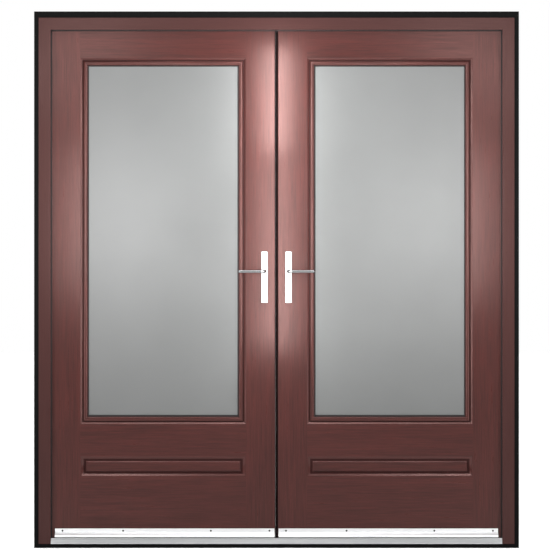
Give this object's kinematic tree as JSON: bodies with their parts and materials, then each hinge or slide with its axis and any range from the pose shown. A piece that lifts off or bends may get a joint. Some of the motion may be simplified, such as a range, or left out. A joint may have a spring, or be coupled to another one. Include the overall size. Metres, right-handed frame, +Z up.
{
  "type": "french doors",
  "caption": "Pair of rosewood-finish glazed French doors in their frame, with lever handles, weather bars, threshold, hinges and a multipoint lock.",
  "frame": {"origin": "middle of the underside of the packing band, at mid depth of the frame", "axes": "+Z up, -Y towards the outside, +X to the right seen from outside"},
  "size_m": [1.926, 0.1476, 2.131],
  "materials": {
    "rosewood_frame": "satin foil with a fine woodgrain",
    "rosewood_skin": "satin stained skin with a raised woodgrain",
    "rosewood_bead": "satin stained bead",
    "rosewood_hinge": "satin powder coat",
    "black_rubber": "matt",
    "packing_band": "matt foam band",
    "black_profile": "satin",
    "threshold_aluminium": "mill finish",
    "bar_aluminium": "bright satin",
    "spacer_aluminium": "matt",
    "galvanised_steel": "galvanised",
    "bright_steel": "ground",
    "stainless_strip": "brushed",
    "zinc": "cast",
    "nickel": "satin nickel",
    "chrome_plate": "polished",
    "chrome_lever": "polished",
    "black_screw": "black oxide",
    "timber": "planed",
    "foam": "rigid foam",
    "glass": "clear"
  },
  "bodies": {
    "root": {"frame_head": "rosewood_frame", "frame_jamb_left": "rosewood_frame", "frame_jamb_right": "rosewood_frame", "frame_steels": "galvanised_steel", "frame_seal": "black_rubber", "packing_band": "packing_band", "threshold": "threshold_aluminium", "shootbolt_keeps": "zinc", "hinge_frame_flags": "rosewood_hinge", "hinge_pins": "bright_steel"},
    "master_leaf": {"master_outer_skin": "rosewood_skin", "master_inner_skin": "rosewood_skin", "master_timber_frame": "timber", "master_foam_core": "foam", "master_glass_panes": "glass", "master_glass_spacer": "spacer_aluminium", "master_glazing_seal": "black_rubber", "master_glazing_bead": "rosewood_bead", "master_weather_bar": "bar_aluminium", "master_bar_screws": "black_screw", "master_outer_plate": "chrome_plate", "master_inner_plate": "chrome_plate", "master_cylinder": "nickel", "master_lock_case": "galvanised_steel", "master_leaf_flags": "rosewood_hinge", "master_lock_strip": "stainless_strip"},
    "slave_leaf": {"slave_outer_skin": "rosewood_skin", "slave_inner_skin": "rosewood_skin", "slave_timber_frame": "timber", "slave_foam_core": "foam", "slave_glass_panes": "glass", "slave_glass_spacer": "spacer_aluminium", "slave_glazing_seal": "black_rubber", "slave_glazing_bead": "rosewood_bead", "slave_weather_bar": "bar_aluminium", "slave_bar_screws": "black_screw", "slave_outer_plate": "chrome_plate", "slave_inner_plate": "chrome_plate", "slave_cylinder": "nickel", "slave_lock_case": "galvanised_steel", "slave_leaf_flags": "rosewood_hinge", "slave_meeting_profile": "black_profile", "slave_keeps": "stainless_strip"},
    "master_levers": {"master_outer_lever": "chrome_lever", "master_inner_lever": "chrome_lever", "master_spindle": "bright_steel", "master_latch_cam": "zinc"},
    "master_follower": {"master_follower": "zinc"},
    "slave_levers": {"slave_outer_lever": "chrome_lever", "slave_inner_lever": "chrome_lever", "slave_spindle": "bright_steel", "slave_follower": "zinc"},
    "master_latch_bolt": {"master_latch_bolt": "nickel"},
    "master_deadbolt": {"master_deadbolt": "nickel"},
    "master_thumbturn": {"master_thumbturn": "chrome_lever"},
    "master_drive_bar": {"master_drive_bar": "galvanised_steel"},
    "master_upper_hook": {"master_upper_hook": "bright_steel"},
    "master_lower_hook": {"master_lower_hook": "bright_steel"},
    "slave_top_shootbolt": {"slave_top_shootbolt": "bright_steel"},
    "slave_bottom_shootbolt": {"slave_bottom_shootbolt": "bright_steel"}
  },
  "joints": [
    {"name": "master_leaf_swing", "type": "hinge", "parent": "root", "child": "master_leaf", "pos_m": [-0.913, 0.0445, 1], "axis": [0, 0, 1], "range_deg": [0, 95]},
    {"name": "slave_leaf_swing", "type": "hinge", "parent": "root", "child": "slave_leaf", "pos_m": [0.913, 0.0445, 1], "axis": [0, 0, -1], "range_deg": [0, 95]},
    {"name": "master_lever_turn", "type": "hinge", "parent": "master_leaf", "child": "master_levers", "pos_m": [-0.048, 0.009, 1.098], "axis": [0, 1, 0], "range_deg": [-35, 45], "stiffness_Nm_per_rad": 3, "springref_deg": 2.01},
    {"name": "master_follower_turn", "type": "hinge", "parent": "master_leaf", "child": "master_follower", "pos_m": [-0.048, 0.009, 1.098], "axis": [0, 1, 0], "range_deg": [0, 45]},
    {"name": "master_drive_slide", "type": "slide", "parent": "master_leaf", "child": "master_drive_bar", "axis": [0, 0, 1], "range_m": [0, 0.018]},
    {"name": "master_upper_hook_turn", "type": "hinge", "parent": "master_leaf", "child": "master_upper_hook", "pos_m": [-0.03, 0.009, 1.558], "axis": [0, 1, 0], "range_deg": [-90, 0]},
    {"name": "master_lower_hook_turn", "type": "hinge", "parent": "master_leaf", "child": "master_lower_hook", "pos_m": [-0.03, 0.009, 0.558], "axis": [0, 1, 0], "range_deg": [-90, 0]},
    {"name": "master_latch_slide", "type": "slide", "parent": "master_leaf", "child": "master_latch_bolt", "axis": [1, 0, 0], "range_m": [0, 0.011]},
    {"name": "master_thumbturn_turn", "type": "hinge", "parent": "master_leaf", "child": "master_thumbturn", "pos_m": [-0.048, 0.009, 1.026], "axis": [0, 1, 0], "range_deg": [0, 170]},
    {"name": "master_deadbolt_slide", "type": "slide", "parent": "master_leaf", "child": "master_deadbolt", "axis": [1, 0, 0], "range_m": [0, 0.02]},
    {"name": "slave_lever_lift", "type": "hinge", "parent": "slave_leaf", "child": "slave_levers", "pos_m": [0.048, 0.009, 1.098], "axis": [0, -1, 0], "range_deg": [0, 45], "stiffness_Nm_per_rad": 2, "springref_deg": -5.73},
    {"name": "slave_top_shootbolt_slide", "type": "slide", "parent": "slave_leaf", "child": "slave_top_shootbolt", "axis": [0, 0, 1], "range_m": [0, 0.02]},
    {"name": "slave_bottom_shootbolt_slide", "type": "slide", "parent": "slave_leaf", "child": "slave_bottom_shootbolt", "axis": [0, 0, -1], "range_m": [0, 0.02]}
  ],
  "couplings": [
    {"joint": "master_follower_turn", "follows": "master_drive_slide", "rad_per_m": 43.633},
    {"joint": "master_upper_hook_turn", "follows": "master_drive_slide", "rad_per_m": -87.266},
    {"joint": "master_lower_hook_turn", "follows": "master_drive_slide", "rad_per_m": -87.266},
    {"joint": "master_deadbolt_slide", "follows": "master_thumbturn_turn", "m_per_rad": 0.00674},
    {"joint": "slave_top_shootbolt_slide", "follows": "slave_lever_lift", "m_per_rad": 0.025464},
    {"joint": "slave_bottom_shootbolt_slide", "follows": "slave_lever_lift", "m_per_rad": 0.025464}
  ]
}
